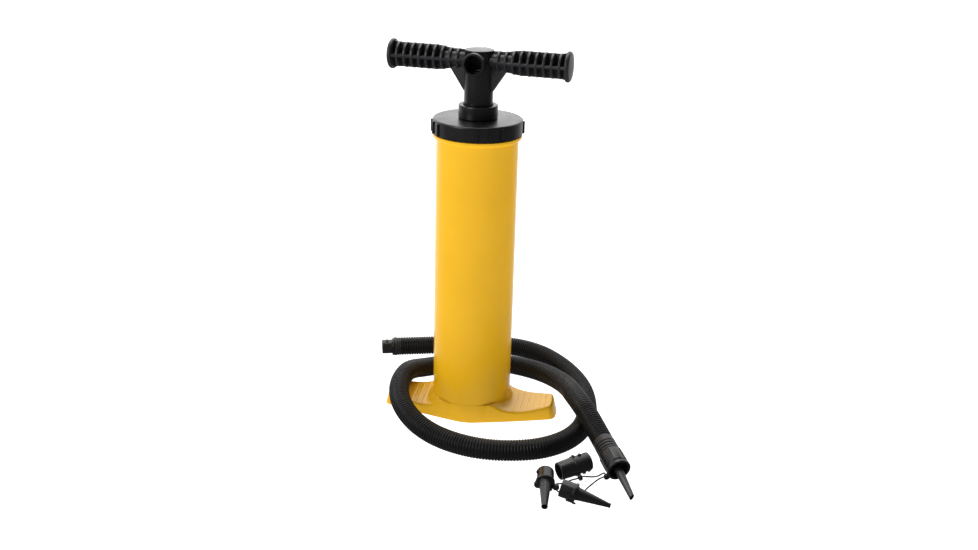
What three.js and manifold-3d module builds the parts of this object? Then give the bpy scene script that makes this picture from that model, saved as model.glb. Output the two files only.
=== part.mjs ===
// Double action hand pump: barrel on two foot pedals, T-handle with two air ports,
// a valved piston on a two-channel rod, and a loose hose with a set of nozzles on a string.
//
// Frame: millimetres, +Z up, origin on the barrel's axis at the floor. The feet point along
// +X and -X. The handle is turned a little about Z from the feet. Its front port faces -Y.

import * as THREE from 'three';
import { mergeVertices } from 'three/addons/utils/BufferGeometryUtils.js';
import Module from 'manifold-3d';

const wasm = await Module();
wasm.setup();

// ---------------------------------------------------------------- driving dimensions

const GAP = 0.3;               // clearance between touching pieces
const ROUND = 40;              // sides of large round pieces
const MID_ROUND = 28;          // sides of the rod and what fits round it
const SMALL_ROUND = 14;        // sides of small round pieces
const HANDLE_TURN = THREE.MathUtils.degToRad(-7.5);

// barrel and base
const BARREL_R = 50;
const BORE_R = 46;
const NECK_R = 49.6;
const RIM_R = 54.2;
const RIM_Z = 366;
const BARREL_TOP_Z = 380.6;
const JOINT_Z = 24;            // top of the base hub, where the barrel starts
const LAP_Z = 14;              // bottom of the lap joint
const LAP_R = 48;
const CHAMBER_FLOOR_Z = 7;
const FOOT_TIP_X = 110.6;
const FOOT_TIP_HALF = 18;
const FOOT_TIP_Z = 18.6;
const FOOT_DIP = [67, 12.8];
const FOOT_WALL = 3.2;
const TANGENT_ANGLE = THREE.MathUtils.degToRad(14);

// screw cap and gland
const CAP_R = 54.4;
const CAP_BOTTOM_Z = 366.6;
const CAP_TOP_Z = 385;
const CAP_BORE_R = 50.9;
const CAP_RIB_GROUP_ANGLE = 24.2;
const CAP_RIB_PITCH = 16;
const BOSS_R = 20.6;
const BOSS_TOP_Z = 391.5;
const GLAND_R = 23.8;
const GLAND_TOP_Z = 401.6;
const THREAD_PITCH = 6;

// piston and rod
const ROD_R = 13;
const ROD_BORE_R = 11;
const ROD_BOTTOM_Z = 19.3;
const ROD_TOP_Z = 442;
const WEB = 2;                 // wall between the rod's two channels
const PISTON_R = 45.2;
const PISTON_Z = 16;
const DISC = 3;
const PISTON_WALL_R = 39.2;
const PISTON_WALL_TOP_Z = 31.7;
const TOP_PLATE_Z = 32;
const FLAP_ROOT_Y = 17.5;
const FLAP_TIP_Y = 32;
const FLAP_HALF = 14;
const FLAP_THICK = 1.2;

// handle
const STEM_R = 17.4;
const STEM_BORE_R = 13.3;
const STEM_BOTTOM_Z = 397.7;
const HUB_TOP_Z = 463.6;
const PLUG_DEPTH = 2.6;
const BAR_Z = 454;
const PORT_Z = 452.2;
const PORT_R = 13.2;
const PORT_BORE_R = 10.8;
const PORT_REACH = 25.5;
const GRIP_R = 15;
const GRIP_WAIST_R = 12.2;
const GRIP_WAIST_X = 30;
const GRIP_FULL_X = 52;
const FIN_FIRST_X = 24.9;
const FIN_PITCH = 9.3;
const FIN_COUNT = 9;
const FLARE_X = 100.4;          // where the cross ribs start to widen towards the flange
const FLANGE_X = 105.8;
const FIN_THICK = 3;
const RIB_THICK = 3.4;
const RIB_SINK = 0.6;          // how far the cross ribs stand back from the fins' edges
const FLANGE_R = 18;

// hose, its fittings and the nozzle set
const HOSE_R = 13;
const HOSE_BORE_R = 10.3;
const HOSE_Z = 13.3;           // centreline height where the hose lies on the floor
const HOSE_STEPS = 38;
const CUFF_END_Z = 23.3;       // along the end fittings, from the end of the hose
const CUP_MOUTH_Z = 51.5;
const BLADE_ROOT_Z = 44;
const BLADE_LENGTH = 56;
const CORD_R = 0.9;
const EYE_R = 3.8;
const EYE_HOLE_R = 1.7;

// ---------------------------------------------------------------- materials

const plastic = (color, roughness) => new THREE.MeshStandardMaterial({ color, roughness, metalness: 0 });
const YELLOW = plastic(0xe8b41c, 0.25);
const BLACK = plastic(0x1c1c1e, 0.45);
const SATIN_BLACK = plastic(0x141416, 0.6);
const RUBBER = plastic(0x232323, 0.85);
const WHITE_NYLON = plastic(0xe6e4dc, 0.5);
const HOSE_BLACK = plastic(0x18181a, 0.5);
const STEEL = new THREE.MeshStandardMaterial({ color: 0xb8bbc0, roughness: 0.35, metalness: 1 });

// ---------------------------------------------------------------- solids

function signedVolume(positions, triangles) {
  const [a, b, c] = [new THREE.Vector3(), new THREE.Vector3(), new THREE.Vector3()];
  let sum = 0;
  for (let i = 0; i < triangles.length; i += 3) {
    a.fromArray(positions, 3 * triangles[i]);
    b.fromArray(positions, 3 * triangles[i + 1]);
    c.fromArray(positions, 3 * triangles[i + 2]);
    sum += a.dot(b.cross(c));
  }
  return sum / 6;
}

// A closed three.js geometry as a solid, with its faces turned outwards.
function solid(geometry) {
  geometry.deleteAttribute('normal');
  geometry.deleteAttribute('uv');
  const merged = mergeVertices(geometry, 1e-4);
  const positions = merged.attributes.position.array;
  const triangles = [];
  for (let i = 0; i < merged.index.count; i += 3) {
    const [a, b, c] = [0, 1, 2].map((k) => merged.index.getX(i + k));
    if (a !== b && b !== c && c !== a) triangles.push(a, b, c);
  }
  if (signedVolume(positions, triangles) < 0) triangles.reverse();
  const mesh = new wasm.Mesh({
    numProp: 3,
    vertProperties: new Float32Array(positions),
    triVerts: new Uint32Array(triangles),
  });
  return new wasm.Manifold(mesh);
}

const join = (...solids) => solids.reduce((sum, next) => sum.add(next));
const cut = (body, ...tools) => tools.reduce((rest, tool) => rest.subtract(tool), body);

// A [radius, height] outline turned about Z. It starts and ends on the axis or closes on itself.
function turn(outline, sides = ROUND) {
  const points = outline.map(([r, z]) => new THREE.Vector2(r, z));
  if (outline[0][0] > 0) points.push(points[0].clone());
  return new THREE.LatheGeometry(points, sides).rotateX(Math.PI / 2);
}

const disc = (r, z0, z1, sides = ROUND) => turn([[0, z0], [r, z0], [r, z1], [0, z1]], sides);
const ring = (r0, r1, z0, z1, sides = ROUND) => turn([[r0, z0], [r1, z0], [r1, z1], [r0, z1]], sides);

function box(x0, x1, y0, y1, z0, z1) {
  const geometry = new THREE.BoxGeometry(x1 - x0, y1 - y0, z1 - z0);
  return geometry.translate((x0 + x1) / 2, (y0 + y1) / 2, (z0 + z1) / 2);
}

// A flat outline in x and y, thickened from z0 to z1.
function plate(shape, z0, z1, curveSegments = 10) {
  const options = { depth: z1 - z0, bevelEnabled: false, curveSegments };
  return new THREE.ExtrudeGeometry(shape, options).translate(0, 0, z0);
}

// A flat outline in x and z, thickened from y0 to y1.
const uprightPlate = (shape, y0, y1) => plate(shape, -y1, -y0, 6).rotateX(Math.PI / 2);

const polygon = (points) => new THREE.Shape(points.map(([x, y]) => new THREE.Vector2(x, y)));

// A screw thread's ridge: a trapezoid section swept up a helix about Z.
function threadRidge(rootR, crestR, width, z0, turns) {
  const steps = Math.round(20 * turns);
  const section = [[rootR, -width / 2], [crestR, -width / 4], [crestR, width / 4], [rootR, width / 2]];
  const positions = [];
  const triangles = [];
  for (let i = 0; i <= steps; i++) {
    const angle = (2 * Math.PI * turns * i) / steps;
    const rise = z0 + THREAD_PITCH * turns * (i / steps);
    for (const [r, dz] of section) positions.push(r * Math.cos(angle), r * Math.sin(angle), rise + dz);
  }
  for (let i = 0; i < steps; i++) {
    for (let k = 0; k < 4; k++) {
      const [a, b] = [4 * i + k, 4 * i + ((k + 1) % 4)];
      triangles.push(a, b, b + 4, a, b + 4, a + 4);
    }
  }
  const last = 4 * steps;
  triangles.push(2, 1, 0, 3, 2, 0, last, last + 1, last + 2, last, last + 2, last + 3);
  const geometry = new THREE.BufferGeometry();
  geometry.setAttribute('position', new THREE.Float32BufferAttribute(positions, 3));
  return geometry.setIndex(triangles);
}

// A group whose +Z runs along a heading, with +Y upwards and +X to the left of it.
function aimedGroup(origin, azimuthDeg, slopeDeg) {
  const azimuth = THREE.MathUtils.degToRad(azimuthDeg);
  const slope = THREE.MathUtils.degToRad(slopeDeg);
  const ahead = new THREE.Vector3(
    Math.cos(azimuth) * Math.cos(slope), Math.sin(azimuth) * Math.cos(slope), Math.sin(slope));
  const left = new THREE.Vector3(-Math.sin(azimuth), Math.cos(azimuth), 0);
  const up = new THREE.Vector3().crossVectors(ahead, left);
  const group = new THREE.Group();
  group.applyMatrix4(new THREE.Matrix4().makeBasis(left, up, ahead).setPosition(...origin));
  return group;
}

function addPiece(group, name, body, material) {
  const { vertProperties, triVerts } = body.getMesh();
  const geometry = new THREE.BufferGeometry();
  geometry.setAttribute('position', new THREE.BufferAttribute(vertProperties, 3));
  geometry.setIndex(new THREE.BufferAttribute(triVerts, 1));
  geometry.computeVertexNormals();
  const mesh = new THREE.Mesh(geometry, material);
  mesh.name = name;
  group.add(mesh);
}

// ---------------------------------------------------------------- base

const tangentX = BARREL_R * Math.sin(TANGENT_ANGLE);
const tangentY = BARREL_R * Math.cos(TANGENT_ANGLE);
const FOOT_FLANK_X = 61;
const footFlankY = tangentY - (FOOT_FLANK_X - tangentX) * Math.tan(TANGENT_ANGLE);
const FOOT_TIP_BOW = 2.2;

// Plan of hub and feet: both sides leave the round hub on a tangent and taper to the tips.
function footPlan() {
  const plan = new THREE.Shape();
  plan.moveTo(-FOOT_TIP_X, -FOOT_TIP_HALF);
  plan.quadraticCurveTo(-FOOT_FLANK_X, -footFlankY, -tangentX, -tangentY);
  plan.absarc(0, 0, BARREL_R, -Math.PI / 2 - TANGENT_ANGLE, -Math.PI / 2 + TANGENT_ANGLE, false);
  plan.quadraticCurveTo(FOOT_FLANK_X, -footFlankY, FOOT_TIP_X, -FOOT_TIP_HALF);
  plan.quadraticCurveTo(FOOT_TIP_X + 2 * FOOT_TIP_BOW, 0, FOOT_TIP_X, FOOT_TIP_HALF);
  plan.quadraticCurveTo(FOOT_FLANK_X, footFlankY, tangentX, tangentY);
  plan.absarc(0, 0, BARREL_R, Math.PI / 2 - TANGENT_ANGLE, Math.PI / 2 + TANGENT_ANGLE, false);
  plan.quadraticCurveTo(-FOOT_FLANK_X, footFlankY, -FOOT_TIP_X, FOOT_TIP_HALF);
  plan.quadraticCurveTo(-FOOT_TIP_X - 2 * FOOT_TIP_BOW, 0, -FOOT_TIP_X, -FOOT_TIP_HALF);
  return plan;
}

const FOOT_TOP_TIP_X = 107.5;
const FOOT_ROOT = [34, JOINT_Z];

// Side view: the tops of the feet dip in the middle and rise to the tips and to the hub.
function footSide() {
  const side = new THREE.Shape();
  const [dipX, dipZ] = FOOT_DIP;
  const [rootX, rootZ] = FOOT_ROOT;
  const floorX = FOOT_TIP_X + FOOT_TIP_BOW;
  side.moveTo(-floorX, 0);
  side.lineTo(floorX, 0);
  side.lineTo(FOOT_TOP_TIP_X, FOOT_TIP_Z);
  side.bezierCurveTo(95, 16.8, 80, dipZ, dipX, dipZ);
  side.bezierCurveTo(54, dipZ, 44, 15.6, rootX, rootZ);
  side.lineTo(-rootX, rootZ);
  side.bezierCurveTo(-44, 15.6, -54, dipZ, -dipX, dipZ);
  side.bezierCurveTo(-80, dipZ, -95, 16.8, -FOOT_TOP_TIP_X, FOOT_TIP_Z);
  return side;
}

const SIDE_POINTS = footSide().getPoints(8).filter((p) => p.x > 0 && p.y > 0);

// Height of a foot's top at distance x from the axis.
function footTop(x) {
  const next = SIDE_POINTS.findIndex((p) => p.x < x);
  const [outer, inner] = [SIDE_POINTS[next - 1], SIDE_POINTS[next]];
  return THREE.MathUtils.mapLinear(x, outer.x, inner.x, outer.y, inner.y);
}

// Half the width of a foot at distance x from the axis, on the chord from flank to tip.
const footHalf = (x) => THREE.MathUtils.mapLinear(x, tangentX, FOOT_TIP_X, 46, FOOT_TIP_HALF);

function makeBase() {
  const plan = solid(plate(footPlan(), 0, JOINT_Z, 5));
  const side = solid(uprightPlate(footSide(), -BARREL_R - 5, BARREL_R + 5));
  const fillet = solid(turn([[40, 10], [58, 10], [58, 13.4], [52, 16.2], [50, 22], [40, 22]]));
  let base = join(plan.intersect(side), solid(disc(BARREL_R, 0, JOINT_Z)), fillet.intersect(plan));
  base = join(base, ...treadRibs());
  const bore = solid(disc(BORE_R, CHAMBER_FLOOR_Z, JOINT_Z + 1));
  const lap = solid(disc(LAP_R + GAP / 2, LAP_Z, JOINT_Z + 1));
  return cut(base, bore, lap, ...underPockets());
}

// Raised lines across the tops of the feet.
function treadRibs() {
  const ribs = [];
  for (let i = 0; i < 6; i++) {
    const x = 59.5 + 7.7 * i;
    const z = footTop(x);
    const half = footHalf(x) - 4;
    for (const s of [-1, 1]) ribs.push(solid(box(s * x - 0.7, s * x + 0.7, -half, half, z - 2, z + 0.8)));
  }
  return ribs;
}

// Open cells under the feet and the hub, between the stiffening ribs.
function underPockets() {
  const pockets = [];
  const cell = 10;
  for (let i = 0; i < 4; i++) {
    const x = 55 + 13 * i;
    const top = Math.min(footTop(x), footTop(x + cell), footTop(x + cell / 2)) - FOOT_WALL;
    const half = footHalf(x + cell) - FOOT_WALL;
    for (const [x0, x1] of [[x, x + cell], [-x - cell, -x]]) {
      pockets.push(solid(box(x0, x1, 1.5, half, -1, top)), solid(box(x0, x1, -half, -1.5, -1, top)));
    }
  }
  const cross = join(solid(box(-60, 60, -2, 2, -2, 5)), solid(box(-2, 2, -60, 60, -2, 5)));
  pockets.push(cut(solid(disc(BORE_R - 1, -1, 3.5)), cross, solid(disc(14, -2, 5))));
  return pockets;
}

// ---------------------------------------------------------------- barrel, cap and gland

function makeBarrel() {
  const wall = solid(turn([
    [BORE_R, LAP_Z + GAP], [LAP_R - GAP / 2, LAP_Z + GAP], [LAP_R - GAP / 2, JOINT_Z + GAP],
    [BARREL_R, JOINT_Z + GAP], [BARREL_R, RIM_Z - 5], [RIM_R, RIM_Z - 3.2], [RIM_R, RIM_Z],
    [NECK_R, RIM_Z], [NECK_R, BARREL_TOP_Z], [BORE_R, BARREL_TOP_Z],
  ]));
  return wall.add(solid(threadRidge(NECK_R - 0.5, NECK_R + 1, 2, 369.5, 0.8)));
}

function makeScrewCap() {
  const shell = solid(turn([
    [14, 378], [20, 378], [20, 382], [CAP_BORE_R, 382], [CAP_BORE_R, CAP_BOTTOM_Z],
    [CAP_R, CAP_BOTTOM_Z], [CAP_R, CAP_TOP_Z - 2], [CAP_R - 0.6, CAP_TOP_Z - 0.6],
    [CAP_R - 2, CAP_TOP_Z], [BOSS_R, CAP_TOP_Z], [BOSS_R, BOSS_TOP_Z - 0.5],
    [BOSS_R - 0.5, BOSS_TOP_Z], [17.6, BOSS_TOP_Z], [17.6, 380], [14, 380],
  ]));
  const thread = solid(threadRidge(CAP_BORE_R + 1.3, CAP_BORE_R - 0.5, 2, 372.5, 0.8));
  return join(shell, thread, ...capRibs());
}

// Four groups of three upright grip ribs around the cap.
function capRibs() {
  const ribs = [];
  for (let group = 0; group < 4; group++) {
    for (const k of [-1, 0, 1]) {
      const angle = CAP_RIB_GROUP_ANGLE + 90 * group + CAP_RIB_PITCH * k;
      const rib = new THREE.CylinderGeometry(1.5, 1.7, 14.5, 4).rotateX(Math.PI / 2);
      rib.scale(1, 1.6, 1).translate(0, -CAP_R, 375.2);
      ribs.push(solid(rib.rotateZ(THREE.MathUtils.degToRad(angle))));
    }
  }
  return ribs;
}

const makeCapGasket = () => solid(ring(BORE_R + 0.4, 50.3, BARREL_TOP_Z + GAP, 382 - GAP));

function makeGlandNut() {
  return solid(turn([
    [15.1, 383.9], [17.3, 383.9], [17.3, BOSS_TOP_Z + GAP], [BOSS_R + GAP, BOSS_TOP_Z + GAP],
    [BOSS_R + GAP, CAP_TOP_Z + GAP], [GLAND_R - 0.6, CAP_TOP_Z + GAP], [GLAND_R, CAP_TOP_Z + 1],
    [GLAND_R, GLAND_TOP_Z - 1.6], [GLAND_R - 1.3, GLAND_TOP_Z], [STEM_R + 0.7, GLAND_TOP_Z],
    [STEM_R + 0.7, 396], [15.1, 396],
  ], MID_ROUND));
}

const makeRodBush = () => solid(turn([
  [ROD_R + 0.1, 384.3], [14.8, 384.3], [14.8, 396.3], [17, 396.3], [17, 397.4],
  [ROD_R + 0.1, 397.4],
], MID_ROUND));

const makeRodSeal = () => solid(turn([
  [ROD_R + 0.1, 380.4], [17.2, 380.4], [17.2, 383.5], [15.6, 383.5], [15.2, 381.8],
  [14.4, 381.8], [13.6, 383.5], [ROD_R + 0.1, 383.2],
], MID_ROUND));

// ---------------------------------------------------------------- piston and rod

// Double-lipped ring that seals on the barrel in both directions.
function makePistonSeal() {
  const [low, high] = [PISTON_Z + DISC + GAP, TOP_PLATE_Z - GAP];
  const inner = PISTON_WALL_R + 0.4;
  const lip = BORE_R - 0.07;
  return solid(turn([
    [inner, low], [44, low], [lip, low + 1], [44.6, (low + high) / 2], [lip, high - 1],
    [44, high], [inner, high],
  ]));
}

const FLOW_HOLES = [[-9, 25], [0, 26.5], [9, 25]];
const SCREW_POSTS = [[27, 12], [-27, 12], [-27, -12], [27, -12]];

// Air holes through one disc: three on the front half and three on the rear half.
function flowHoles(z0, z1) {
  const tool = (x, y) => solid(disc(3.2, z0, z1, 10).translate(x, y, 0));
  return FLOW_HOLES.flatMap(([x, y]) => [tool(x, y), tool(x, -y)]);
}

// Window that lets one of the rod's channels into its half of the piston.
const rodWindows = () => [solid(box(-5, 5, 9.5, 18, 21.3, 28.7)), solid(box(-5, 5, -18, -9.5, 21.3, 28.7))];

function makePistonBody() {
  const floorTop = PISTON_Z + DISC;
  const walls = [
    ring(PISTON_WALL_R - 3, PISTON_WALL_R, floorTop - 1, PISTON_WALL_TOP_Z),
    ring(ROD_R + 0.4, ROD_R + 3.4, floorTop - 1, 30, MID_ROUND),
    box(ROD_R + 2, PISTON_WALL_R - 1, -1.25, 1.25, floorTop - 1, PISTON_WALL_TOP_Z),
    box(-PISTON_WALL_R + 1, -ROD_R - 2, -1.25, 1.25, floorTop - 1, PISTON_WALL_TOP_Z),
  ].map(solid);
  const posts = SCREW_POSTS.map(([x, y]) =>
    solid(disc(3.4, floorTop - 1, PISTON_WALL_TOP_Z, 12).translate(x, y, 0)));
  const pilots = SCREW_POSTS.map(([x, y]) => solid(disc(1.6, 24, 40, 8).translate(x, y, 0)));
  const body = join(solid(disc(PISTON_R, PISTON_Z, floorTop)), ...walls, ...posts);
  return cut(body, ...pilots, ...flowHoles(PISTON_Z - 1, floorTop + 0.5), ...rodWindows());
}

function makePistonTopPlate() {
  const top = TOP_PLATE_Z + DISC;
  const clearance = SCREW_POSTS.map(([x, y]) =>
    solid(disc(1.6, TOP_PLATE_Z - 1, top + 1, 8).translate(x, y, 0)));
  const body = solid(ring(ROD_R + 0.4, PISTON_R, TOP_PLATE_Z, top));
  return cut(body, ...clearance, ...flowHoles(TOP_PLATE_Z - 1, top + 1));
}

function makePistonScrew([x, y]) {
  const seat = TOP_PLATE_Z + DISC + GAP;
  const screw = turn([[0, 25], [1.25, 26], [1.25, seat], [3, seat], [3, seat + 1.2], [2, seat + 2],
    [0, seat + 2]], 10);
  const slot = box(-0.4, 0.4, -3.5, 3.5, seat + 1.3, seat + 3);
  return cut(solid(screw), solid(slot)).translate(x, y, 0);
}

// Tube with a wall down its middle: the front channel blows, the rear channel draws.
function makePistonRod() {
  const section = new THREE.Shape().absarc(0, 0, ROD_R, 0, 2 * Math.PI, false);
  const edge = Math.asin(WEB / 2 / ROD_BORE_R);
  for (const start of [0, Math.PI]) {
    const channel = new THREE.Path();
    channel.absarc(0, 0, ROD_BORE_R, start + edge, start + Math.PI - edge, false);
    channel.closePath();
    section.holes.push(channel);
  }
  return cut(solid(plate(section, ROD_BOTTOM_Z, ROD_TOP_Z, MID_ROUND / 2)), ...rodWindows());
}

// Rubber flap: straight along its fixed edge, with rounded outer corners.
function flapShape() {
  const [tip, corner] = [FLAP_TIP_Y - FLAP_ROOT_Y, 4];
  const shape = new THREE.Shape().moveTo(-FLAP_HALF, 0);
  shape.lineTo(FLAP_HALF, 0);
  shape.lineTo(FLAP_HALF, tip - corner);
  shape.absarc(FLAP_HALF - corner, tip - corner, corner, 0, Math.PI / 2, false);
  shape.absarc(corner - FLAP_HALF, tip - corner, corner, Math.PI / 2, Math.PI, false);
  return shape;
}

// side is -1 for the front half of the piston and +1 for the rear half.
function makeFlap(side, z) {
  const flap = plate(flapShape(), 0, FLAP_THICK, 4);
  if (side < 0) flap.rotateZ(Math.PI);
  return solid(flap.translate(0, side * FLAP_ROOT_Y, z));
}

// ---------------------------------------------------------------- handle

// Outer radius of a grip at distance x from the pump's axis.
function gripRadius(x) {
  const blend = THREE.MathUtils.smoothstep(x, GRIP_WAIST_X, GRIP_FULL_X);
  return GRIP_WAIST_R + (GRIP_R - GRIP_WAIST_R) * blend;
}

// Turns a shape that is built along Z to lie along +X or -X at the height of the bar.
const alongBar = (geometry, s) => geometry.rotateY((s * Math.PI) / 2).translate(0, 0, BAR_Z);

// One grip: cross ribs that widen into the end flange, round fins, and a solid root at the hub.
function makeGrip(s) {
  const inner = STEM_BORE_R + 1;
  const outline = [];
  for (const x of [inner, GRIP_WAIST_X, 41, GRIP_FULL_X, FLARE_X]) {
    outline.push([gripRadius(x) - RIB_SINK, x]);
  }
  outline.push([FLANGE_R - 1.7, FLANGE_X + 0.5]);
  const rib = polygon([...outline, ...outline.toReversed().map(([r, x]) => [-r, x])]);
  const flat = plate(rib, -RIB_THICK / 2, RIB_THICK / 2).rotateX(Math.PI / 2).rotateZ(Math.PI / 2);
  const upright = flat.clone().rotateZ(Math.PI / 2);
  const pieces = [alongBar(flat, s), alongBar(upright, s)];
  pieces.push(alongBar(disc(9.2, inner, FIN_FIRST_X + 2 * FIN_PITCH, 12), s));
  for (let i = 0; i < FIN_COUNT; i++) {
    const x = FIN_FIRST_X + FIN_PITCH * i;
    pieces.push(alongBar(disc(gripRadius(x), x - FIN_THICK / 2, x + FIN_THICK / 2, 12), s));
  }
  pieces.push(alongBar(turn([
    [0, FLANGE_X], [FLANGE_R - 1, FLANGE_X], [FLANGE_R, 107], [FLANGE_R, 109],
    [FLANGE_R - 1.4, 110.8], [0, 112.4],
  ], 24), s));
  return join(...pieces.map(solid));
}

function makeGusset(s) {
  const shape = polygon([[s * 14, 414], [s * 16.3, 416], [s * 33.5, 442], [s * 33.5, 446], [s * 14, 446]]);
  return solid(uprightPlate(shape, -5.5, 5.5));
}

function makeHandle() {
  const port = disc(PORT_R, -PORT_REACH, PORT_REACH, MID_ROUND).rotateX(Math.PI / 2).translate(0, 0, PORT_Z);
  const stem = turn([
    [0, STEM_BOTTOM_Z], [STEM_R - 0.6, STEM_BOTTOM_Z], [STEM_R, STEM_BOTTOM_Z + 0.8],
    [STEM_R, HUB_TOP_Z + 1], [0, HUB_TOP_Z + 1],
  ], MID_ROUND);
  const outside = join(solid(stem), solid(port), makeGrip(1), makeGrip(-1), makeGusset(1), makeGusset(-1));
  const bore = solid(disc(STEM_BORE_R, STEM_BOTTOM_Z - 1, HUB_TOP_Z + 2, MID_ROUND));
  const plugSeat = solid(disc(STEM_R + GAP, HUB_TOP_Z, HUB_TOP_Z + 10, MID_ROUND));
  const mouths = [-1, 1].map((s) => {
    const mouth = disc(PORT_BORE_R, 8, PORT_REACH + 1, MID_ROUND);
    return solid(mouth.rotateX((s * Math.PI) / 2).translate(0, 0, PORT_Z));
  });
  const dividerHalf = STEM_BORE_R + 0.5;
  const divider = box(-dividerHalf, dividerHalf, -1.2, 1.2, ROD_TOP_Z + GAP, HUB_TOP_Z - PLUG_DEPTH - GAP);
  return join(cut(outside, bore, plugSeat, ...mouths), solid(divider));
}

const makeHubTopPlug = () => solid(turn([
  [0, HUB_TOP_Z - PLUG_DEPTH], [STEM_BORE_R - GAP, HUB_TOP_Z - PLUG_DEPTH],
  [STEM_BORE_R - GAP, HUB_TOP_Z + GAP],
  [STEM_R, HUB_TOP_Z + GAP], [STEM_R, HUB_TOP_Z + 2.1], [STEM_R - 0.8, HUB_TOP_Z + 2.9],
  [0, HUB_TOP_Z + 2.9],
], MID_ROUND));

// ---------------------------------------------------------------- hose fittings

// Flat lobe with a hole for the cord, beside a fitting's flange.
function cordEye(x, y, z0, z1) {
  const reach = Math.hypot(x, y);
  const arm = box(6, reach, -3.2, 3.2, z0, z1).rotateZ(Math.atan2(y, x));
  const lobe = disc(EYE_R, z0, z1, 12).translate(x, y, 0);
  const hole = disc(EYE_HOLE_R, z0 - 1, z1 + 1, 10).translate(x, y, 0);
  return { lobe: join(solid(arm), solid(lobe)), hole: solid(hole) };
}

// Small block standing out of a round fitting at an angle, from radius r0 to r1.
function lug(angleDeg, r0, r1, half, z0, z1) {
  return solid(box(r0, r1, -half, half, z0, z1).rotateZ(THREE.MathUtils.degToRad(angleDeg)));
}

function makeHoseConnector() {
  const tube = solid(turn([
    [7.6, 10.1], [12, 10.1], [12, 12.6], [10, 12.8], [10, 26], [9.2, 27], [7.6, 27],
  ], SMALL_ROUND));
  return join(tube, lug(75, 9, 11.6, 2.2, 18.5, 22), lug(-105, 9, 11.6, 2.2, 18.5, 22),
    lug(-62, 10.5, 12.7, 3, 10.1, 12.6));
}

const makeRearCuff = () => solid(turn([
  [9.6, GAP], [12.8, GAP], [12.8, 6.4], [13.2, 6.6], [13.2, 9.8], [9.6, 9.8],
], SMALL_ROUND));

function makeFrontCuff() {
  const outline = [[9.6, GAP], [12.8, GAP]];
  for (const z of [10.5, 15, 19.5]) outline.push([13.1, z - 0.8], [12, z], [13.1, z + 0.8]);
  outline.push([13.1, 22], [13.6, 22.4], [13.6, CUFF_END_Z], [9.6, CUFF_END_Z]);
  return solid(turn(outline, SMALL_ROUND));
}

// Cup on the end of the hose: faceted body, a deep groove and a thick ring round its mouth.
function makeEndCup() {
  const cup = solid(turn([
    [8.2, CUFF_END_Z + GAP], [13.3, CUFF_END_Z + GAP], [13.8, 25.4], [13.9, 45], [13.1, 45.6],
    [13.1, 47], [14.1, 47.3], [14.5, 48.2], [14.5, CUP_MOUTH_Z - 1], [13.8, CUP_MOUTH_Z],
    [11.8, CUP_MOUTH_Z], [11.3, 36], [8.2, 34],
  ], SMALL_ROUND));
  const eye = cordEye(-12.9, -10.1, 46.8, 50.2);
  const bore = solid(disc(11.2, 40, CUP_MOUTH_Z, SMALL_ROUND));
  return cut(cup.add(cut(eye.lobe, bore)), eye.hole);
}

// Flat tapering nozzle for pinch valves, cut on the slant at its tip. Its collar sits in the cup
// and its blade leans a little to the right.
function makePinchNozzle() {
  const lean = THREE.MathUtils.degToRad(-3.2);
  const leaning = (geometry) => geometry.rotateY(lean).translate(0, 0, BLADE_ROOT_Z);
  const blade = (rootR, tipR, z0, z1) => {
    const cone = new THREE.CylinderGeometry(tipR, rootR, z1 - z0, 16).rotateX(Math.PI / 2);
    return solid(leaning(cone.translate(0, 0, (z0 + z1) / 2).scale(1, 0.66, 1)));
  };
  const collar = turn([[0, 37], [10.8, 37], [10.8, 42], [9, 43.5], [7, BLADE_ROOT_Z + 2],
    [0, BLADE_ROOT_Z + 2]], SMALL_ROUND);
  const slant = box(-12, 12, -12, 12, 0, 16).rotateX(-0.4).rotateY(0.6).translate(0, 0, BLADE_LENGTH - 4);
  const outside = join(solid(collar), blade(5.9, 3.3, -2, BLADE_LENGTH));
  return cut(outside, blade(3.9, 1.9, -12, BLADE_LENGTH + 1), solid(leaning(slant)));
}

function makeDoubleEndedAdapter() {
  const tube = solid(turn([
    [8.6, 0], [10.5, 0], [11.2, 18.6], [12, 19.3], [12, 22.5], [10.9, 22.9], [10.9, 39.4],
    [10.3, 40.5], [8.8, 40.5],
  ], MID_ROUND));
  const eye = cordEye(-12.9, -8.6, 19.3, 22.5);
  const bore = solid(disc(9.2, -1, 44, SMALL_ROUND));
  const lugs = [lug(78, 10, 13.4, 2.4, 20, 22.5), lug(80, 10, 12.8, 1.8, 28, 31),
    lug(-113, 10, 12.6, 1.8, 29.5, 33), lug(-113, 10, 12.2, 1.8, 36.5, 39.5)];
  return cut(join(tube, cut(eye.lobe, bore), ...lugs), eye.hole);
}

// Nozzle with a round socket behind its flange and a cone in front of it.
function coneShell(socketR, socketLength, coneRootR, tipR, coneLength) {
  const wall = 1.6;
  return solid(turn([
    [socketR - wall, -socketLength], [socketR, -socketLength], [socketR, -1], [11.2, -0.8], [11.2, 2.2],
    [coneRootR + 0.8, 2.6], [coneRootR, 4], [tipR, coneLength - 2.2], [tipR + 0.2, coneLength],
    [tipR - 0.8, coneLength], [coneRootR - wall, 4], [socketR - wall, -3],
  ], MID_ROUND));
}

// The space inside a cone nozzle's flange, kept clear of the parts that stand on it.
const flangeBore = () => solid(disc(8, -10, 8, SMALL_ROUND));

function makeLargeNozzle() {
  const eye = cordEye(12.6, -6.2, -0.8, 3);
  const ear = solid(disc(4.8, -0.8, 3.4, SMALL_ROUND).translate(-8, -3, 0));
  const onFlange = [eye.lobe, ear, lug(-52, 6.5, 11, 2.4, -0.8, 6), lug(-36, 8, 10.4, 2.4, -0.8, 5)];
  const pin = lug(150, 9.2, 11.6, 1.8, -13, -9.5);
  const shell = coneShell(10, 17, 6.8, 3.6, 42);
  return cut(join(shell, cut(join(...onFlange), flangeBore()), pin), eye.hole);
}

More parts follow.
